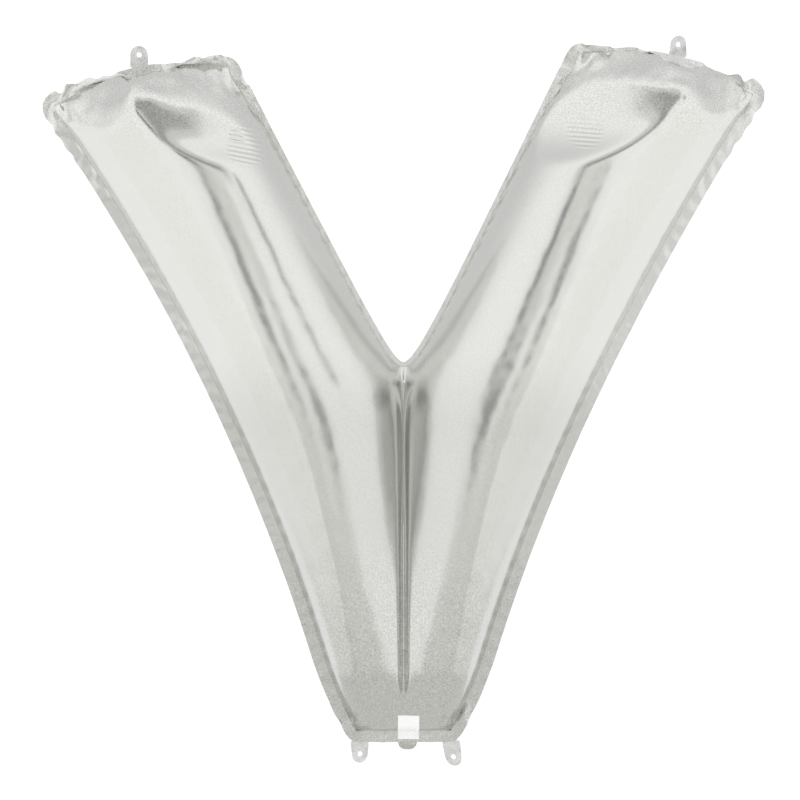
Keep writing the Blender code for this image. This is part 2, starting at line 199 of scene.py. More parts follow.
#                            x      root z  length  lean    turn  up
TABS = {"tab_top_left":     (-0.370, 0.9455, 0.029, 0.000,  18,   1),
        "tab_top_right":    (0.384,  0.9600, 0.029, 0.001, -42,   1),
        "tab_bottom_left":  (-0.0615, 0.001, 0.030, 0.001,  30,  -1),
        "tab_bottom_right": (0.0665, 0.001,  0.034, 0.005, -24,  -1)}

# Fill neck: a limp flat sleeve that drops from the foot and curls back
NECK_X = 0.0056
NECK_WIDTH = 0.027
NECK_DROP = 0.003
NECK_CURL_RADIUS = 0.007
NECK_CURL_DEGREES = 112
NECK_TAIL = 0.022
NECK_LAP = 0.010            # how far up between the hem's films it starts
NECK_PUFF = 0.0012          # how far its two plies part
NECK_PUFF_FROM = 0.002      # how far above the hem's edge they start to
NECK_NARROWS = 0.10         # share of its width that it loses on the way down
NECK_ROUNDING = 0.004
NECK_CRINKLE = 0.0004
NECK_CRINKLE_RATE = (2, 160)        # across the width, and along it, 1/m
NECK_STEP = 0.0005          # half the step along it that gives its slope
NECK_COLUMNS, NECK_ROWS = 12, 32
NECK_THICKNESS = 0.0003
VALVE_WIDTH = 0.021
VALVE_LAP = 0.012
VALVE_SHOWS = 0.004

# Foil finishes: colour, roughness and height of a fine crinkle
FILM_SILVER = ((0.735, 0.735, 0.715), 0.19, 0.0)
HEM_SILVER = ((0.735, 0.735, 0.715), 0.30, 0.0004)
NECK_SILVER = ((0.66, 0.66, 0.64), 0.25, 0.0008)
CRINKLE_SCALE, CRINKLE_DETAIL = 110.0, 3.0

# Clear finishes: colour, how opaque, how metallic, roughness
TAB_CLEAR = ((0.74, 0.75, 0.74), 0.82, 0.55, 0.18)
VALVE_CLEAR = ((0.85, 0.86, 0.85), 0.5, 0.0, 0.15)
HAZE_SCALE, HAZE_DETAIL = 90.0, 3.0
HAZE_TONE = (0.82, 1.1)
HAZE_ROUGHNESS = 0.15
HAZE_STRENGTH, HAZE_HEIGHT = 0.6, 0.001

# Fine sparkle of the foil, from nothing to full, towards the foot and towards the arms' ends
GRAIN_FOOT = (0.36, 0.16)
GRAIN_TOP = (0.80, 0.90)
GRAIN_LEAST = 0.25
GRAIN_SCALE = 430.0
GRAIN_DEPTH = 0.6
GRAIN_ROUGHNESS = 0.25

# Soft unevenness of the foil
CLOUD_SCALE = 9.0
CLOUD_DEPTH = 0.05
CLOUD_HEIGHT = 0.0006

# Painted shade on the foot's film, darker towards the bottom: from height, to height, share of light lost
FOOT_PAINTED_SHADE = (0.56, 0.43, 0.12)

# Painted shade along the foot's margin by the outer weld: the weld's half width at height 0, its lean,
# share of light lost
MARGIN_PAINTED_SHADE = (0.0760, 0.350, 0.05)
MARGIN_PAINTED_SHADE_WIDTH = (0.030, 0.012)    # distances from the weld over which it comes up
MARGIN_PAINTED_SHADE_TOP = (0.30, 0.20)        # and heights

# Fine pleats beside the gap, under each arm's end: middle x and z, reach across and up
PLEATS = ((-0.2150, 0.8290, 0.032, 0.034),
          (0.2500, 0.8570, 0.028, 0.040))
PLEAT_LEAN = (0.15, 0.989)
PLEAT_PITCH = 0.0066
PLEAT_HEIGHT = 0.00030
PLEAT_FULL_WITHIN = 0.5     # share of their reach, squared, within which they stand to the full height

# Bare pale patch on the foot: middle x, middle z, half width, half height
PATCH = (0.0070, 0.0238, 0.0147, 0.0196)
PATCH_COLOUR = (0.86, 0.86, 0.86)


def outer_x(z, inset):
    """Half width of the outer edge at height z."""
    rise = (WAIST_HALF_WIDTH - FOOT_HALF_WIDTH) / WAIST_HEIGHT
    rise_above = (EAR_HALF_WIDTH - WAIST_HALF_WIDTH) / (EAR_HEIGHT - WAIST_HEIGHT)
    flare = (rise_above - rise) / EAR_HEIGHT
    lean = rise - flare * WAIST_HEIGHT
    tuck = FOOT_TUCK * max(0.0, 1 - z / FOOT_TUCK_HEIGHT) ** 2
    slope = lean + 2 * flare * z
    edge = FOOT_HALF_WIDTH + lean * z + flare * z * z - tuck
    return edge - inset * math.hypot(1, slope)


def notch_x(z, inset):
    """Half width of the gap between the arms at height z."""
    up = max(0.0, z - (NOTCH_HEIGHT - inset))
    softness = NOTCH_ROUND + inset * (math.hypot(1, NOTCH_SLOPE) / NOTCH_SLOPE - 1)
    return NOTCH_SLOPE * math.sqrt(up * up + 2 * up * softness)


def top_z(x, inset):
    """Height of an arm's end at half width x."""
    return TOP_HEIGHT - inset - TOP_BOW * (x - TOP_CREST_X) ** 2


def corner_height(edge_x, inset):
    """Height at which an edge running up meets the arm's end."""
    low, high = NOTCH_HEIGHT, TOP_HEIGHT
    for _ in range(CORNER_STEPS):
        middle = (low + high) / 2
        if middle < top_z(edge_x(middle, inset), inset):
            low = middle
        else:
            high = middle
    return low


# Where an arm's end weld meets the outer weld, and how far out it meets the gap's
EAR_WELD_HEIGHT = corner_height(outer_x, HEM_WIDTH)
EAR_WELD_X = outer_x(EAR_WELD_HEIGHT, HEM_WIDTH)
INNER_WELD_X = notch_x(corner_height(notch_x, HEM_WIDTH), HEM_WIDTH)

# The film's three parts: a face carries its part's number until they are parted
FRONT, BACK, HEM = range(3)


def coons(low, high, left, right, u, v):
    """Point of the patch between four edges, each given as a function."""
    straight = low(u) * (1 - v) + high(u) * v + left(v) * (1 - u) + right(v) * u
    corners = (low(0) * (1 - v) + high(0) * v) * (1 - u) + (low(1) * (1 - v) + high(1) * v) * u
    return straight - corners


def notch_hem(z):
    """Width of the hem along the gap at height z."""
    return NOTCH_HEM_WIDTH + (HEM_WIDTH - NOTCH_HEM_WIDTH) * ramp(z, *NOTCH_HEM_WIDENS)


def block_edges(block, inset):
    """Low, high, outer and inner edge of the left half's foot or arm, at the weld."""
    shoulder = Vector((-outer_x(SHOULDER_HEIGHT, inset), SHOULDER_HEIGHT))
    notch = Vector((0.0, NOTCH_HEIGHT - NOTCH_HEM_WIDTH))
    if block == "foot":
        def low(u):
            return Vector((-outer_x(inset, inset) * (1 - u), inset))

        def high(u):
            return shoulder.lerp(notch, u)

        def outer(v):
            z = inset + (SHOULDER_HEIGHT - inset) * v
            return Vector((-outer_x(z, inset), z))

        def inner(v):
            return Vector((0.0, inset)).lerp(notch, v)
        return low, high, outer, inner

    ear = corner_height(outer_x, inset)
    inner_corner = corner_height(notch_x, inset)

    def low(u):
        return shoulder.lerp(notch, u)

    def high(u):
        x = outer_x(ear, inset) * (1 - u) + notch_x(inner_corner, inset) * u
        return Vector((-x, top_z(x, inset)))

    def outer(v):
        z = SHOULDER_HEIGHT + (ear - SHOULDER_HEIGHT) * v
        return Vector((-outer_x(z, inset), z))

    def inner(v):
        z = notch.y + (inner_corner - notch.y) * v ** NOTCH_GATHER
        return Vector((-notch_x(z, notch_hem(z)), z))
    return low, high, outer, inner


def ramp(value, start, end):
    """0 below start, 1 above end, smooth between."""
    share = min(1.0, max(0.0, (value - start) / (end - start)))
    return share * share * (3 - 2 * share)


def taper(distance, length):
    """Share of full depth at a distance from an end weld."""
    return arc(min(1.0, max(0.0, 1 - distance / length)))


def arc(reach):
    """Depth of a lobe, 1 at its crest (reach 0) and 0 at its weld (reach 1)."""
    return (1 - reach ** LOBE_FULLNESS[0]) ** LOBE_FULLNESS[1]


def along_table(table, x):
    """Value of a two-column table at x, on a straight line between its rows."""
    for (start, low), (stop, high) in zip(table, table[1:]):
        if x <= stop:
            return low + (high - low) * min(1.0, max(0.0, (x - start) / (stop - start)))
    return table[-1][1]


def facet_depth(x, z):
    """Depth of the facet's surface."""
    side = "left" if x < 0 else "right"
    middle_x, middle_z, depth, aside, upward = FACETS[side]
    turned = (x - middle_x) * math.copysign(1, -middle_x)
    curve = FACET_CURVE * max(0.0, turned) ** 2
    clear = FACET_LIFT * max(0.0, middle_z - z) ** 2
    return depth - aside * (x - middle_x) - upward * (z - middle_z) - curve + clear


def softer_least(one, other, softness):
    """The smaller of two depths, rounded where they cross."""
    return (one + other - math.hypot(one - other, softness)) / 2


def inner_rise(share, flat):
    """Rise from the inner edge of a row (0) to its crest (1): steep from a weld, flat from the valley."""
    if flat:
        start = math.hypot(share, flat) - flat
        share = start / (math.hypot(1, flat) - flat)
    return arc(1 - share)


def swell(u, row, x, z):
    """Depth of the film in front of the seam plane, at share u across a row of the left half."""
    notch_weld = NOTCH_HEIGHT - NOTCH_HEM_WIDTH
    floor = flat = 0.0
    if row <= FOOT_ROWS:
        depth = foot_depth(z)
        down = (notch_weld - HEM_WIDTH) * (1 - row / FOOT_ROWS)
        floor = VALLEY_SLOPE * down - VALLEY_BOW * down * down
        floor = softer_least(floor, VALLEY_FILL * foot_depth(notch_weld - down), VALLEY_SOFT)
        flat = VALLEY_FLAT * ramp(down, 0.0, VALLEY_FLAT_FROM)
    else:
        closing = along_table(CLOSING["left" if x < 0 else "right"], x)
        depth = HALF_DEPTH * taper(top_z(abs(x), HEM_WIDTH) - z, closing)
    crest_shift = CREST_ARM["left" if x < 0 else "right"] - CREST_FOOT
    crest = CREST_FOOT + crest_shift * ramp(row / (FOOT_ROWS + ARM_ROWS), *CREST_SHIFTS)
    if u < crest:
        depth *= arc(1 - u / crest)
    else:
        floor = min(max(0.0, floor), depth)
        depth = floor + (depth - floor) * inner_rise((1 - u) / (1 - crest), flat)
    if row > FOOT_ROWS:
        depth = max(0.0, softer_least(depth, facet_depth(x, z), FACET_SOFT))
    else:
        along = ramp(z, *PINCH_ENDS[0]) * (1 - ramp(z, *PINCH_ENDS[1]))
        depth = max(0.0, depth - PINCH_DEPTH * along * math.exp(-(x / PINCH_HALF_WIDTH) ** 2))
    return depth


def foot_depth(z):
    """Depth of the foot's lobes at height z."""
    narrow = FOOT_DEPTH_SHARE + (1 - FOOT_DEPTH_SHARE) * ramp(z, 0.0, FOOT_FULL_HEIGHT)
    return HALF_DEPTH * narrow * taper(z - HEM_WIDTH, FOOT_TAPER)


def film_grid():
    """Front film between its welds: half a flat grid, mirrored, then swelled."""
    bm = bmesh.new()
    rows = FOOT_ROWS + ARM_ROWS
    bmesh.ops.create_grid(bm, x_segments=ACROSS, y_segments=rows, size=0.5)
    across_layer = bm.verts.layers.float.new("across")
    row_layer = bm.verts.layers.float.new("row")
    bm.verts.layers.int.new("ring")
    edges = {block: block_edges(block, HEM_WIDTH) for block in ("foot", "arm")}
    for vert in bm.verts:
        u = vert.co.x + 0.5
        row = round((vert.co.y + 0.5) * rows)
        vert[across_layer], vert[row_layer] = u, row
        # finer near the welds
        u = u - EDGE_GATHER * math.sin(2 * math.pi * u)
        if row <= FOOT_ROWS:
            point = coons(*edges["foot"], u, row / FOOT_ROWS)
        else:
            point = coons(*edges["arm"], u, (row - FOOT_ROWS) / ARM_ROWS)
        vert.co = (point.x, 0, point.y)
    ease_rows(bm, row_layer)
    ends = {}
    for vert in bm.verts:
        if vert[across_layer] in (0.0, 1.0):
            ends[(vert[across_layer], vert[row_layer])] = vert.co.copy()
    for vert in bm.verts:
        row = vert[row_layer]
        start, stop = ends[(0.0, row)], ends[(1.0, row)]
        line = stop - start
        vert[across_layer] = min(1.0, max(0.0, (vert.co - start).dot(line) / line.length_squared))
    bmesh.ops.mirror(bm, geom=bm.verts[:] + bm.edges[:] + bm.faces[:], axis="X",
                     merge_dist=MIRROR_NEAR)
    for vert in bm.verts:
        vert.co.y = -swell(vert[across_layer], vert[row_layer], vert.co.x, vert.co.z)
    ease_bend(bm, row_layer)
    return bm


def ease_rows(bm, row_layer):
    """Even out how the rows follow each other up the grid, without moving the columns apart."""
    steps = {}
    for vert in bm.verts:
        if not vert.is_boundary:
            steps[vert] = [edge.other_vert(vert) for edge in vert.link_edges
                           if edge.other_vert(vert)[row_layer] != vert[row_layer]]
    for _ in range(RELAX_PASSES):
        eased = [(vert.co + (one.co + other.co) / 2) / 2 for vert, (one, other) in steps.items()]
        for vert, place in zip(steps, eased):
            vert.co = place


def ease_bend(bm, row_layer):
    """Even out the depth along each line of the grid, where the arms join the foot."""
    steps = {}
    for vert in bm.verts:
        if vert.is_boundary or abs(vert[row_layer] - FOOT_ROWS) > BEND_ROWS:
            continue
        steps[vert] = [edge.other_vert(vert) for edge in vert.link_edges
                       if edge.other_vert(vert)[row_layer] != vert[row_layer]]
    for reach in range(BEND_ROWS):
        for _ in range(BEND_PASSES):
            near = [vert for vert in steps if abs(vert[row_layer] - FOOT_ROWS) <= reach]
            eased = [(vert.co.y + sum(other.co.y for other in steps[vert]) / len(steps[vert])) / 2
                     for vert in near]
            for vert, y in zip(near, eased):
                vert.co.y = y


def shape_balloon():
    """Whole film: the front, the hem drawn out from it, and the back made from the front."""
    bm = film_grid()
    ring_layer = bm.verts.layers.int["ring"]
    bmesh.ops.recalc_face_normals(bm, faces=bm.faces[:])
    if sum(face.normal.y for face in bm.faces) > 0:
        bmesh.ops.reverse_faces(bm, faces=bm.faces[:])
    front = bm.faces[:]
    rim = [vert for vert in bm.verts if vert.is_boundary]
    outward = {vert: way_out(vert) * hem_width(vert.co) for vert in rim}
    edges = [edge for edge in bm.edges if edge.is_boundary]
    for ring in range(1, HEM_RINGS + 1):
        drawn = bmesh.ops.extrude_edge_only(bm, edges=edges)["geom"]
        fresh = {vert for vert in drawn if isinstance(vert, bmesh.types.BMVert)}
        edges = [edge for edge in drawn if isinstance(edge, bmesh.types.BMEdge)
                 and all(vert in fresh for vert in edge.verts)]
        moved = {}
        for vert in fresh:
            root = next(edge.other_vert(vert) for edge in vert.link_edges
                        if edge.other_vert(vert) in outward)
            moved[vert] = outward[root]
            vert.co += outward[root] / HEM_RINGS
            vert[ring_layer] = ring
        outward = moved
    doubled = bmesh.ops.duplicate(bm, geom=front)["geom"]
    back = [face for face in doubled if isinstance(face, bmesh.types.BMFace)]
    bmesh.ops.reverse_faces(bm, faces=back)
    for vert in {vert for face in back for vert in face.verts}:
        vert.co.y = -vert.co.y
    bmesh.ops.remove_doubles(bm, verts=[vert for vert in bm.verts if abs(vert.co.y) < SEAM_NEAR],
                             dist=FILMS_NEAR)
    for face in bm.faces:
        if any(vert[ring_layer] for vert in face.verts):
            face.material_index = HEM
        else:
            face.material_index = FRONT if face.normal.y < 0 else BACK
    return bm


def hem_width(point):
    """Width of the hem at a point of the weld: narrow inside the gap, lobed at the ears."""
    if abs(point.x) < notch_x(point.z, 0.0) + HEM_WIDTH and point.z > NOTCH_HEIGHT - HEM_WIDTH:
        return notch_hem(point.z)
    from_ear = math.hypot(abs(point.x) - EAR_WELD_X, point.z - EAR_WELD_HEIGHT)
    lobes = abs(math.sin(math.pi * from_ear / LOBE_PITCH + LOBE_START)) - LOBE_MIDDLE
    return HEM_WIDTH * (1 + LOBE_DEPTH * lobes * (1 - ramp(from_ear, *LOBE_REACH)))


def way_out(vert):
    """Direction away from the film at a rim vertex, in the seam plane, mitred."""
    sides = []
    for edge in vert.link_edges:
        if edge.is_boundary:
            along = edge.verts[1].co - edge.verts[0].co
            side = Vector((along.z, 0, -along.x)).normalized()
            inner = edge.link_faces[0].calc_center_median() - edge.verts[0].co
            if side.dot(inner) > 0:
                side.negate()
            sides.append(side)
    middle = (sides[0] + sides[1]).normalized()
    turned = middle.dot(sides[0])
    return middle / turned if turned > MITRE_LIMIT else middle


def zone_weights(point, ring):
    """How slack the film is and how firmly it is held, at a point of the swelled shape."""
    flat = Vector((-abs(point.x), point.z))
    on_arm = ramp(point.z, SHOULDER_HEIGHT + ARM_ZONE[0], SHOULDER_HEIGHT + ARM_ZONE[1]) > 0
    from_top = top_z(-flat.x, HEM_WIDTH) - flat.y if on_arm else FAR_OFF
    from_foot = flat.y - HEM_WIDTH
    from_outer = outer_x(flat.y, HEM_WIDTH) + flat.x
    from_notch = FAR_OFF
    if flat.y > NOTCH_HEIGHT - HEM_WIDTH:
        from_notch = -flat.x - notch_x(flat.y, notch_hem(flat.y))
    near_edge = min(from_outer, from_notch)
    end = 1 - ramp(from_top, 0.0, END_ZONE)
    foot = 1 - ramp(from_foot, 0.0, FOOT_ZONE)
    hold = HOLD_EDGE + (HOLD_BODY - HOLD_EDGE) * ramp(near_edge, 0.0, EDGE_ZONE)
    hold += (HOLD_END - hold) * max(end, foot)
    ear = Vector((-EAR_WELD_X, EAR_WELD_HEIGHT))
    inner = Vector((-INNER_WELD_X, TOP_HEIGHT - HEM_WIDTH))
    corner = min((flat - ear).length, (flat - inner).length)
    hold = max(hold, HOLD_CORNER * (1 - ramp(corner, 0.0, CORNER_ZONE)))
    spare = max(end, FOOT_SPARE * foot)
    if ring:
        roots = [row[:2] for row in TABS.values()] + [(NECK_X, 0.0)]
        nearest = min(math.hypot(point.x - x, point.z - z) for x, z in roots)
        welded = 1 - ramp(nearest, *ROOT_WELD_REACH)
        spare = max(spare, HEM_SPARE) * (1 - welded)
        hold = max(hold * HOLD_HEM, welded)
    return spare, hold


def inflate(piece, rings):
    """Blow the slack film up against its held shape, with Blender's cloth."""
    mesh = piece.data
    groups = {name: piece.vertex_groups.new(name=name) for name in ("pressed", "full_cut", "held")}
    for vert, ring in zip(mesh.vertices, rings):
        spare, hold = zone_weights(vert.co, ring)
        if not ring:
            groups["pressed"].add([vert.index], 1.0, "REPLACE")
        groups["full_cut"].add([vert.index], 1 - spare, "REPLACE")
        groups["held"].add([vert.index], hold, "REPLACE")
    cloth = piece.modifiers.new("inflation", "CLOTH")
    film = cloth.settings
    film.quality = FILM_STEPS
    film.mass = FILM_MASS
    film.air_damping = AIR_DAMPING
    film.bending_model = "ANGULAR"
    film.tension_stiffness = film.compression_stiffness = FILM_STRETCH
    film.shear_stiffness = FILM_SHEAR
    film.bending_stiffness = FILM_BEND
    film.tension_damping = film.compression_damping = film.shear_damping = FILM_DAMPING
    film.bending_damping = FILM_BEND_DAMPING
    film.use_pressure = True
    film.uniform_pressure_force = PRESSURE
    film.vertex_group_pressure = "pressed"
    film.vertex_group_mass = "held"
    film.pin_stiffness = HOLD_STIFFNESS
    film.shrink_min = -SPARE_MOST
    film.shrink_max = 0.0
    film.vertex_group_shrink = "full_cut"
    film.effector_weights.gravity = 0
    cloth.collision_settings.use_collision = False
    cloth.collision_settings.use_self_collision = False
    cloth.point_cache.frame_start, cloth.point_cache.frame_end = 1, FRAMES
    scene = bpy.context.scene
    scene.frame_start, scene.frame_end = 1, FRAMES
    for frame_number in range(1, FRAMES + 1):
        scene.frame_set(frame_number)
    graph = bpy.context.evaluated_depsgraph_get()
    settled = bpy.data.meshes.new_from_object(piece.evaluated_get(graph))
    places = [vert.co.copy() for vert in settled.vertices]
    piece.modifiers.clear()
    piece.vertex_groups.clear()
    for vert, place in zip(mesh.vertices, places):
        vert.co = place
    bpy.data.meshes.remove(settled)
    scene.frame_set(1)


def tilt_sides(point):
    """Lift of the film at a point: up at the right arm's end, down at the left's."""
    return math.copysign(SIDE_RISE, point.x) * ramp(point.z, *SIDE_RISE_FROM)


def set_in_order(bm):
    """Put edges and faces in the order of their points.

    An extrusion leaves them in a new order at each run, and the cloth's sums follow it.
    """
    count = len(bm.verts)
    bm.verts.index_update()

    def place_in_order(item, points):
        lowest = sorted(vert.index for vert in item.verts)[:points]
        return sum(index * count ** power for power, index in enumerate(reversed(lowest)))

    bm.edges.sort(key=lambda edge: place_in_order(edge, 2))
    bm.faces.sort(key=lambda face: place_in_order(face, 3))


def object_from(name, bm):
    """A new object in the scene, made from a bmesh."""
    set_in_order(bm)
    mesh = bpy.data.meshes.new(name)
    bm.to_mesh(mesh)
    bm.free()
    made = bpy.data.objects.new(name, mesh)
    bpy.context.scene.collection.objects.link(made)
    return made


def place_piece(name, bm, body, replaced, thickness, offset):
    """Make a finished piece from a bmesh, attach it to its body and hide the solid part it replaces."""
    made = object_from(name, bm)
    rough_mesh = made.data
    rough_mesh.shade_smooth()
    finer = made.modifiers.new("finer", "SUBSURF")
    finer.levels = finer.render_levels = 1
    wall = made.modifiers.new("wall", "SOLIDIFY")
    wall.thickness = thickness
    wall.offset = offset
    graph = bpy.context.evaluated_depsgraph_get()
    finished = bpy.data.meshes.new_from_object(made.evaluated_get(graph))
    finished.set_sharp_from_angle(angle=math.radians(RIM_ANGLE))
    made.modifiers.clear()
    made.data = finished
    finished.name = name
    bpy.data.meshes.remove(rough_mesh)
    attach(made, body)
    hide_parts(replaced)
    return made


def film_balloon():
    """Inflate the film and part it into its front, back and hem."""
    bm = shape_balloon()
    ring_layer = bm.verts.layers.int["ring"]
    rings = [vert[ring_layer] for vert in bm.verts]
    for vert in bm.verts:
        vert.co.y += RIPPLE * noise.noise(vert.co / RIPPLE_PITCH)
    slack = object_from("film", bm)
    whole = slack.data
    inflate(slack, rings)
    for vert in whole.vertices:
        vert.co.z += tilt_sides(vert.co)
    made = []
    for number, name, replaced, slot, thickness, offset in (
            (FRONT, "front_foil", "front_panel", "foil", PANEL_THICKNESS, INWARD),
            (BACK, "back_foil", "back_panel", "foil", PANEL_THICKNESS, INWARD),
            (HEM, "hem_film", "seam_hem", "hem_foil", HEM_THICKNESS, BOTH_WAYS)):
        part = bmesh.new()
        part.from_mesh(whole)
        others = [face for face in part.faces if face.material_index != number]
        bmesh.ops.delete(part, geom=others, context="FACES")
        for face in part.faces:
            face.material_index = 0
        made.append(place_piece(name, part, "balloon", replaced, thickness, offset))
    bpy.data.objects.remove(slack)
    bpy.data.meshes.remove(whole)
    return made


def tongue_reach(direction, length):
    """Distance from a tab's hole to its outline: a round tip, straight sides and a straight root."""
    half = TAB_WIDTH / 2
    below = length - half + TAB_LAP
    if direction.z >= 0:
        return half
    root = below / -direction.z
    return min(half / abs(direction.x), root) if direction.x else root


def tab_piece(name):
    """A hanging tab: rings of film drawn out from its punched hole to the tongue's outline."""
    x, root_z, length, lean, turn, up = TABS[name]
    bm = bmesh.new()
    bmesh.ops.create_circle(bm, segments=TAB_SEGMENTS, radius=TAB_HOLE_RADIUS,
                            matrix=Matrix.Rotation(math.radians(90), 4, "X"))
    edges = bm.edges[:]
    for ring in range(1, TAB_RINGS + 1):
        drawn = bmesh.ops.extrude_edge_only(bm, edges=edges)["geom"]
        edges = [item for item in drawn if isinstance(item, bmesh.types.BMEdge)
                 and all(vert in drawn for vert in item.verts)]
        for vert in {vert for edge in edges for vert in edge.verts}:
            direction = vert.co.normalized()
            share = ring / TAB_RINGS
            vert.co = direction * (TAB_HOLE_RADIUS * (1 - share) + tongue_reach(direction, length) * share)
    turned = Matrix.Rotation(math.radians(turn), 3, "Z")
    hole_z = length - TAB_WIDTH / 2
    for vert in bm.verts:
        height = max(0.0, vert.co.z + hole_z) / length
        own_place = Vector((x, 0, 0)) * TAB_CRUMPLE_APART
        vert.co.y += TAB_CRUMPLE * height * noise.noise(vert.co / TAB_CRUMPLE_PITCH + own_place)
        vert.co = vert.co.lerp(turned @ vert.co, ramp(height, 0.0, TAB_TURNED_BY))
        vert.co = Vector((x + vert.co.x + lean * height, vert.co.y,
                          root_z + up * (vert.co.z + hole_z)))
    bmesh.ops.recalc_face_normals(bm, faces=bm.faces[:])
    body = name.replace("tab_", "") + "_tab"
    return place_piece(name + "_film", bm, body, name, TAB_THICKNESS, BOTH_WAYS)


def neck_path(run):
    """Point (y, z) at a distance along the neck from its start between the hem's films."""
    straight = NECK_LAP + NECK_DROP
    if run < straight:
        return 0.0, NECK_LAP - run
    curl = NECK_CURL_RADIUS * math.radians(NECK_CURL_DEGREES)
    angle = min(run - straight, curl) / NECK_CURL_RADIUS
    y = NECK_CURL_RADIUS * (1 - math.cos(angle))
    z = -NECK_DROP - NECK_CURL_RADIUS * math.sin(angle)
    tail = max(0.0, run - straight - curl)
    return y + tail * math.sin(angle), z - tail * math.cos(angle)


def neck_sheet(name, replaced, width, start, stop, side):
    """One film of the neck, laid along the curl and puffed to its side in the middle."""
    bm = bmesh.new()
    bmesh.ops.create_grid(bm, x_segments=NECK_COLUMNS, y_segments=NECK_ROWS, size=0.5)
    for vert in bm.verts:
        across = vert.co.x * 2
        run = start + (stop - start) * (vert.co.y + 0.5)
        near_y, near_z = neck_path(run - NECK_STEP)
        far_y, far_z = neck_path(run + NECK_STEP)
        along = Vector((0, far_y - near_y, far_z - near_z)).normalized()
        outward = Vector((0, along.z, -along.y))
        puff = side * NECK_PUFF * (1 - across * across)
        crinkle_place = Vector((across * NECK_CRINKLE_RATE[0], run * NECK_CRINKLE_RATE[1], 0))
        puff += NECK_CRINKLE * noise.noise(crinkle_place)
        puff *= ramp(run, NECK_LAP - NECK_PUFF_FROM, NECK_LAP + NECK_DROP)
        y, z = neck_path(run)
        narrow = 1 - NECK_NARROWS * ramp(run, NECK_LAP, NECK_LAP + NECK_DROP + NECK_CURL_RADIUS)
        rounding = NECK_ROUNDING * across ** 4 * ramp(run, NECK_LAP, NECK_LAP + NECK_CURL_RADIUS)
        vert.co = Vector((NECK_X + across * width / 2 * narrow, y, z + rounding)) + outward * puff
    bmesh.ops.recalc_face_normals(bm, faces=bm.faces[:])
    return place_piece(name, bm, "balloon", replaced, NECK_THICKNESS, BOTH_WAYS)


def new_material(name):
    """A material with its nodes and links."""
    made = bpy.data.materials.new(name)
    made.use_nodes = True
    return made, made.node_tree.nodes, made.node_tree.links


def wire(nodes, links, kind, settings=(), inputs=(), **properties):
    """Add a node, set its sockets and link what is given as another node's output."""
    node = nodes.new(kind)
    for key, value in properties.items():
        setattr(node, key, value)
    for key, value in settings:
        node.inputs[key].default_value = value
    for key, source in inputs:
        links.new(source, node.inputs[key])
    return node


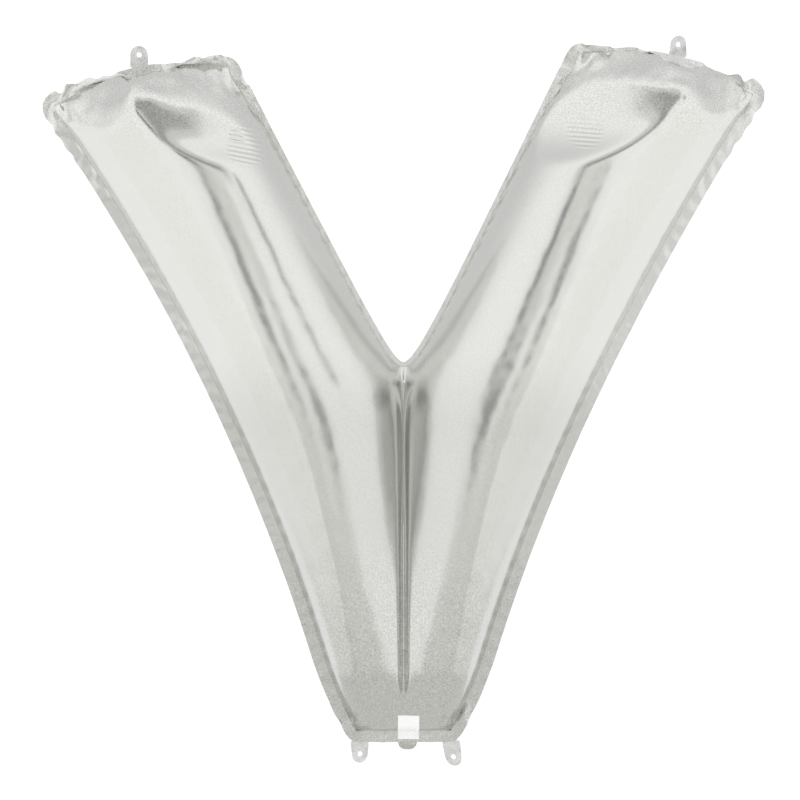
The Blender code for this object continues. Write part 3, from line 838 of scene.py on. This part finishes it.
def foil_surface(name, colour, roughness, crinkle, patch):
    """Metallised film: fine sparkle towards the foot and the arms' ends, soft unevenness, painted shade
    towards the foot and along its outer margin, a bare patch.
    """
    made, nodes, links = new_material(name)
    shader = nodes["Principled BSDF"]
    place = nodes.new("ShaderNodeTexCoord").outputs["Object"]
    parts = wire(nodes, links, "ShaderNodeSeparateXYZ", inputs=((0, place),))

    def math_node(operation, one, other=0.0):
        """One sum on two values, each a number or another node's output."""
        node = nodes.new("ShaderNodeMath")
        node.operation = operation
        for socket, value in enumerate((one, other)):
            if isinstance(value, (int, float)):
                node.inputs[socket].default_value = value
            else:
                links.new(value, node.inputs[socket])
        return node.outputs[0]

    def fade(value, start, stop):
        """0 at start and 1 at stop, smooth between."""
        node = wire(nodes, links, "ShaderNodeMapRange", settings=(("From Min", start), ("From Max", stop)),
                    inputs=(("Value", value),), interpolation_type="SMOOTHSTEP")
        return node.outputs["Result"]

    x, y, z = (parts.outputs[axis] for axis in "XYZ")
    grainy = math_node("MAXIMUM", fade(z, *GRAIN_FOOT), fade(z, *GRAIN_TOP))
    grainy = math_node("MAXIMUM", grainy, GRAIN_LEAST)
    grain = wire(nodes, links, "ShaderNodeTexNoise", settings=(("Scale", GRAIN_SCALE), ("Detail", 1.0)),
                 inputs=(("Vector", place),))
    cloud = wire(nodes, links, "ShaderNodeTexNoise", settings=(("Scale", CLOUD_SCALE), ("Detail", 1.0)),
                 inputs=(("Vector", place),))
    speck = math_node("MULTIPLY", math_node("SUBTRACT", grain.outputs["Fac"], 0.5), grainy)
    light = math_node("ADD", math_node("MULTIPLY", speck, GRAIN_DEPTH), 1.0)
    uneven = math_node("MULTIPLY", math_node("SUBTRACT", cloud.outputs["Fac"], 0.5), CLOUD_DEPTH)
    light = math_node("ADD", light, uneven)

    # painted shade: darker towards the foot, and again along its margin by the outer weld
    start, stop, share = FOOT_PAINTED_SHADE
    light = math_node("SUBTRACT", light, math_node("MULTIPLY", fade(z, start, stop), share))
    # painted shade along the foot's margin, where the film turns away beside the outer weld
    weld_x, lean, share = MARGIN_PAINTED_SHADE
    from_edge = math_node("SUBTRACT", math_node("MULTIPLY", z, lean), math_node("ABSOLUTE", x))
    from_edge = math_node("ADD", from_edge, weld_x)
    margin_painted_shade = math_node("MULTIPLY", fade(from_edge, *MARGIN_PAINTED_SHADE_WIDTH), fade(z, *MARGIN_PAINTED_SHADE_TOP))
    light = math_node("SUBTRACT", light, math_node("MULTIPLY", margin_painted_shade, share))
    tint = wire(nodes, links, "ShaderNodeVectorMath", settings=((0, colour),), operation="SCALE",
                inputs=(("Scale", light),))
    rough = math_node("ADD", math_node("MULTIPLY", speck, GRAIN_ROUGHNESS), roughness)
    links.new(rough, shader.inputs["Roughness"])

    # relief: soft unevenness, the pleats beside the gap, and a fine crinkle
    bump = wire(nodes, links, "ShaderNodeBump", settings=(("Strength", 1.0), ("Distance", 1.0)))
    soft = math_node("MULTIPLY", cloud.outputs["Fac"], CLOUD_HEIGHT)
    run = math_node("ADD", math_node("MULTIPLY", x, PLEAT_LEAN[0]),
                    math_node("MULTIPLY", z, PLEAT_LEAN[1]))
    pleat = math_node("SINE", math_node("MULTIPLY", run, 2 * math.pi / PLEAT_PITCH))
    for middle_x, middle_z, reach_x, reach_z in PLEATS:
        across = math_node("DIVIDE", math_node("SUBTRACT", x, middle_x), reach_x)
        up = math_node("DIVIDE", math_node("SUBTRACT", z, middle_z), reach_z)
        spread = math_node("ADD", math_node("MULTIPLY", across, across), math_node("MULTIPLY", up, up))
        standing = math_node("MULTIPLY", pleat, fade(spread, 1.0, PLEAT_FULL_WITHIN))
        soft = math_node("ADD", soft, math_node("MULTIPLY", standing, PLEAT_HEIGHT))
    if crinkle:
        fine = wire(nodes, links, "ShaderNodeTexNoise",
                    settings=(("Scale", CRINKLE_SCALE), ("Detail", CRINKLE_DETAIL)),
                    inputs=(("Vector", place),))
        soft = math_node("ADD", soft, math_node("MULTIPLY", fine.outputs["Fac"], crinkle))
    links.new(soft, bump.inputs["Height"])
    links.new(bump.outputs["Normal"], shader.inputs["Normal"])
    shader.inputs["Metallic"].default_value = 1.0
    if not patch:
        links.new(tint.outputs[0], shader.inputs["Base Color"])
        return made
    middle_x, middle_z, half_width, half_height = PATCH
    beside = math_node("ABSOLUTE", math_node("SUBTRACT", x, middle_x))
    above = math_node("ABSOLUTE", math_node("SUBTRACT", z, middle_z))
    within = math_node("MULTIPLY", math_node("LESS_THAN", beside, half_width),
                       math_node("LESS_THAN", above, half_height))
    within = math_node("MULTIPLY", within, math_node("LESS_THAN", y, 0.0))
    patched = wire(nodes, links, "ShaderNodeMix", data_type="RGBA")
    links.new(within, patched.inputs["Factor"])
    links.new(tint.outputs[0], patched.inputs["A"])
    patched.inputs["B"].default_value = (*PATCH_COLOUR, 1)
    links.new(patched.outputs["Result"], shader.inputs["Base Color"])
    links.new(math_node("SUBTRACT", 1.0, within), shader.inputs["Metallic"])
    return made


def clear_surface(name, colour, opaque, metallic, roughness):
    """Thin half-clear film, a little cloudy."""
    made, nodes, links = new_material(name)
    shader = nodes["Principled BSDF"]
    place = nodes.new("ShaderNodeTexCoord").outputs["Object"]
    haze = wire(nodes, links, "ShaderNodeTexNoise",
                settings=(("Scale", HAZE_SCALE), ("Detail", HAZE_DETAIL)),
                inputs=(("Vector", place),)).outputs["Fac"]
    tone = wire(nodes, links, "ShaderNodeMapRange",
                settings=(("To Min", HAZE_TONE[0]), ("To Max", HAZE_TONE[1])),
                inputs=(("Value", haze),))
    tint = wire(nodes, links, "ShaderNodeVectorMath", settings=((0, colour),), operation="SCALE",
                inputs=(("Scale", tone.outputs["Result"]),))
    links.new(tint.outputs[0], shader.inputs["Base Color"])
    shader.inputs["Alpha"].default_value = opaque
    shader.inputs["Metallic"].default_value = metallic
    bump = wire(nodes, links, "ShaderNodeBump",
                settings=(("Strength", HAZE_STRENGTH), ("Distance", HAZE_HEIGHT)),
                inputs=(("Height", haze),))
    links.new(bump.outputs["Normal"], shader.inputs["Normal"])
    rough = wire(nodes, links, "ShaderNodeMapRange",
                 settings=(("To Min", roughness), ("To Max", roughness + HAZE_ROUGHNESS)),
                 inputs=(("Value", haze),))
    links.new(rough.outputs["Result"], shader.inputs["Roughness"])
    return made


front, back, hem = film_balloon()
front.data.materials.append(foil_surface("front_silver", *FILM_SILVER, True))
back.data.materials.append(foil_surface("back_silver", *FILM_SILVER, False))
hem.data.materials.append(foil_surface("hem_silver", *HEM_SILVER, True))
tab_film = clear_surface("tab_film", *TAB_CLEAR)
for tab in TABS:
    tab_piece(tab).data.materials.append(tab_film)
neck_silver = foil_surface("neck_silver", *NECK_SILVER, False)
neck_end = NECK_LAP + NECK_DROP + NECK_CURL_RADIUS * math.radians(NECK_CURL_DEGREES) + NECK_TAIL
for name, replaced, side in (("neck_front_film", "neck_front_ply", 1),
                             ("neck_back_film", "neck_back_ply", -1)):
    ply = neck_sheet(name, replaced, NECK_WIDTH, 0.0, neck_end, side)
    ply.data.materials.append(neck_silver)
valve = neck_sheet("valve_tongue", "valve_film", VALVE_WIDTH,
                   neck_end - VALVE_LAP, neck_end + VALVE_SHOWS, 0)
valve.data.materials.append(clear_surface("valve_clear", *VALVE_CLEAR))


def graded_card(name, corners, levels):
    """A plain glowing card that only reflections see; its light changes with height as levels say."""
    card = bmesh.new()
    card.faces.new([card.verts.new(corner) for corner in corners])
    made = object_from(name, card)
    glow, nodes, links = new_material(name)
    nodes.remove(nodes["Principled BSDF"])
    light = nodes.new("ShaderNodeEmission")
    links.new(light.outputs[0], nodes["Material Output"].inputs[0])
    parts = wire(nodes, links, "ShaderNodeSeparateXYZ",
                 inputs=((0, nodes.new("ShaderNodeTexCoord").outputs["Object"]),))
    lowest, highest = levels[0][0], levels[-1][0]
    share = wire(nodes, links, "ShaderNodeMapRange", settings=(("From Min", lowest), ("From Max", highest)),
                 inputs=(("Value", parts.outputs["Z"]),))
    bands = wire(nodes, links, "ShaderNodeValToRGB", inputs=(("Fac", share.outputs["Result"]),))
    steps = bands.color_ramp.elements
    for height, _ in levels[1:-1]:
        steps.new((height - lowest) / (highest - lowest))
    for step, (_, level) in zip(steps, levels):
        step.color = (level, level, level * CARD_WARMTH, 1)
    links.new(bands.outputs["Color"], light.inputs["Color"])
    made.data.materials.append(glow)
    made.visible_camera = made.visible_diffuse = made.visible_shadow = False
    made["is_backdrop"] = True


# The studio's light in front, behind, and as the backdrop shows it
STUDIO_LIGHT, STUDIO_BEHIND, STUDIO_BACKDROP = 1.07, 0.74, 1.15
STUDIO_TURNS = (-0.40, 0.50)        # how far back a direction points where the light turns
CARD_WARMTH = 0.97          # a card's blue, as a share of its red and green

# Upright reflection cards, square to the camera's axis; light at the low edge and at the high edge
#         name                 x from  x to    y      z from  z to   low    high
CARDS = (("dark_low",          -0.86, -0.22,  -3.00,  0.42,   0.62,  1.05,  0.06),
         ("dark_middle",       -0.86, -0.22,  -3.00,  0.62,   0.84,  0.06,  0.06),
         ("dark_above",        -1.00, -0.42,  -3.00,  0.84,   1.04,  0.06,  0.06),
         ("dark_high",         -1.22, -0.70,  -3.00,  1.04,   1.27,  1.05,  0.08),
         ("dark_top",          -1.22, -0.70,  -3.00,  1.27,   1.78,  0.05,  0.05),
         ("grey_low",           0.38,  0.92,  -3.00,  0.42,   0.62,  1.05,  0.12),
         ("grey_middle",        0.38,  0.92,  -3.00,  0.62,   0.92,  0.12,  0.12),
         ("grey_high",          2.10,  2.85,  -3.00,  1.72,   2.05,  1.05,  0.30),
         ("grey_top",           2.10,  2.85,  -3.00,  2.05,   2.75,  0.30,  0.30),
         ("valley_low",        -0.80,  0.80,  -2.99,  0.90,   1.30,  0.95,  0.65),
         ("valley_high",       -0.60,  0.60,  -2.99,  1.30,   1.92,  0.90,  0.90),
         ("ceiling_dark",      -1.10,  1.10,  -3.01,  1.92,   3.00,  0.38,  0.38),
         ("ceiling_grey",      -1.60,  1.60,  -3.02,  2.00,   5.00,  0.75,  0.75))
for name, left, right, y, low, high, light_low, light_high in CARDS:
    corners = ((left, y, low), (right, y, low), (right, y, high), (left, y, high))
    graded_card(name, corners, ((low, light_low), (high, light_high)))

# The wall in front is dimmer towards the floor; its levels are height and light
WALL_HALF_WIDTH, WALL_Y = 1.6, -3.05
WALL_LEVELS = ((-0.59, 0.78), (0.0, 0.82), (0.25, 0.90), (0.5, 1.0), (0.65, 1.07))
low, high = WALL_LEVELS[0][0], WALL_LEVELS[-1][0]
graded_card("front_wall", ((-WALL_HALF_WIDTH, WALL_Y, low), (WALL_HALF_WIDTH, WALL_Y, low),
                           (WALL_HALF_WIDTH, WALL_Y, high), (-WALL_HALF_WIDTH, WALL_Y, high)),
            WALL_LEVELS)

# Flat cards over the floor, the upper ones over the lower
#               name            half x  y from  y to  z       light
FLOOR_CARDS = (("front_floor",  1.4,    -3,     1.5,  -0.58,  0.72),
               ("side_floor",   2.4,    -3,     1.5,  -0.585, 0.88),
               ("bright_floor", 6,      -6,     0.0,  -0.59,  1.05))
for name, reach, near, far, z, light in FLOOR_CARDS:
    corners = ((-reach, near, z), (reach, near, z), (reach, far, z), (-reach, far, z))
    graded_card(name, corners, ((-1.0, light), (0.0, light)))

# Studio all round: bright in front and at the sides, dimmer behind
world = bpy.data.worlds.new("studio")
bpy.context.scene.world = world
world.use_nodes = True
nodes, links = world.node_tree.nodes, world.node_tree.links
way = wire(nodes, links, "ShaderNodeSeparateXYZ",
           inputs=((0, nodes.new("ShaderNodeTexCoord").outputs["Generated"]),))
level = wire(nodes, links, "ShaderNodeMapRange", interpolation_type="SMOOTHSTEP",
             settings=(("From Min", STUDIO_TURNS[0]), ("From Max", STUDIO_TURNS[1]),
                       ("To Min", STUDIO_LIGHT), ("To Max", STUDIO_BEHIND)),
             inputs=(("Value", way.outputs["Y"]),))
ray = nodes.new("ShaderNodeLightPath")
seen = wire(nodes, links, "ShaderNodeMix", data_type="FLOAT", settings=(("B", STUDIO_BACKDROP),),
            inputs=(("Factor", ray.outputs["Is Camera Ray"]), ("A", level.outputs[0])))
background = nodes["Background"]
background.inputs["Color"].default_value = (1, 1, 1, 1)
links.new(seen.outputs["Result"], background.inputs["Strength"])

# Plain pale floor
FLOOR_REACH = 40
FLOOR_HEIGHT = -0.6
FLOOR_FINISH = {"Base Color": (0.9, 0.9, 0.9, 1), "Emission Color": (1, 1, 1, 1),
                "Emission Strength": 0.25, "Roughness": 0.9}
ground = bmesh.new()
bmesh.ops.create_grid(ground, x_segments=1, y_segments=1, size=FLOOR_REACH)
bmesh.ops.translate(ground, verts=ground.verts[:], vec=(0, 0, FLOOR_HEIGHT))
floor = object_from("floor", ground)
floor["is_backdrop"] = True
pale, nodes, links = new_material("pale_floor")
for socket, value in FLOOR_FINISH.items():
    nodes["Principled BSDF"].inputs[socket].default_value = value
floor.data.materials.append(pale)

# Camera square to the letter, with the photograph's frame at the seam's plane
CAMERA_DISTANCE = 3.2
CAMERA_SENSOR = 36.0
camera_data = bpy.data.cameras.new("camera")
camera = bpy.data.objects.new("camera", camera_data)
bpy.context.scene.collection.objects.link(camera)
camera_data.sensor_width = CAMERA_SENSOR
camera_data.lens = CAMERA_SENSOR * CAMERA_DISTANCE / (PHOTO_SIZE * PIXEL)
camera.location = ((PHOTO_SIZE / 2 - ZERO_X) * PIXEL, -CAMERA_DISTANCE,
                   (ZERO_Z - PHOTO_SIZE / 2) * PIXEL)
camera.rotation_euler = (math.radians(90), 0, 0)
bpy.context.scene.camera = camera
bpy.context.scene.view_settings.view_transform = "Standard"

low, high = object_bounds()
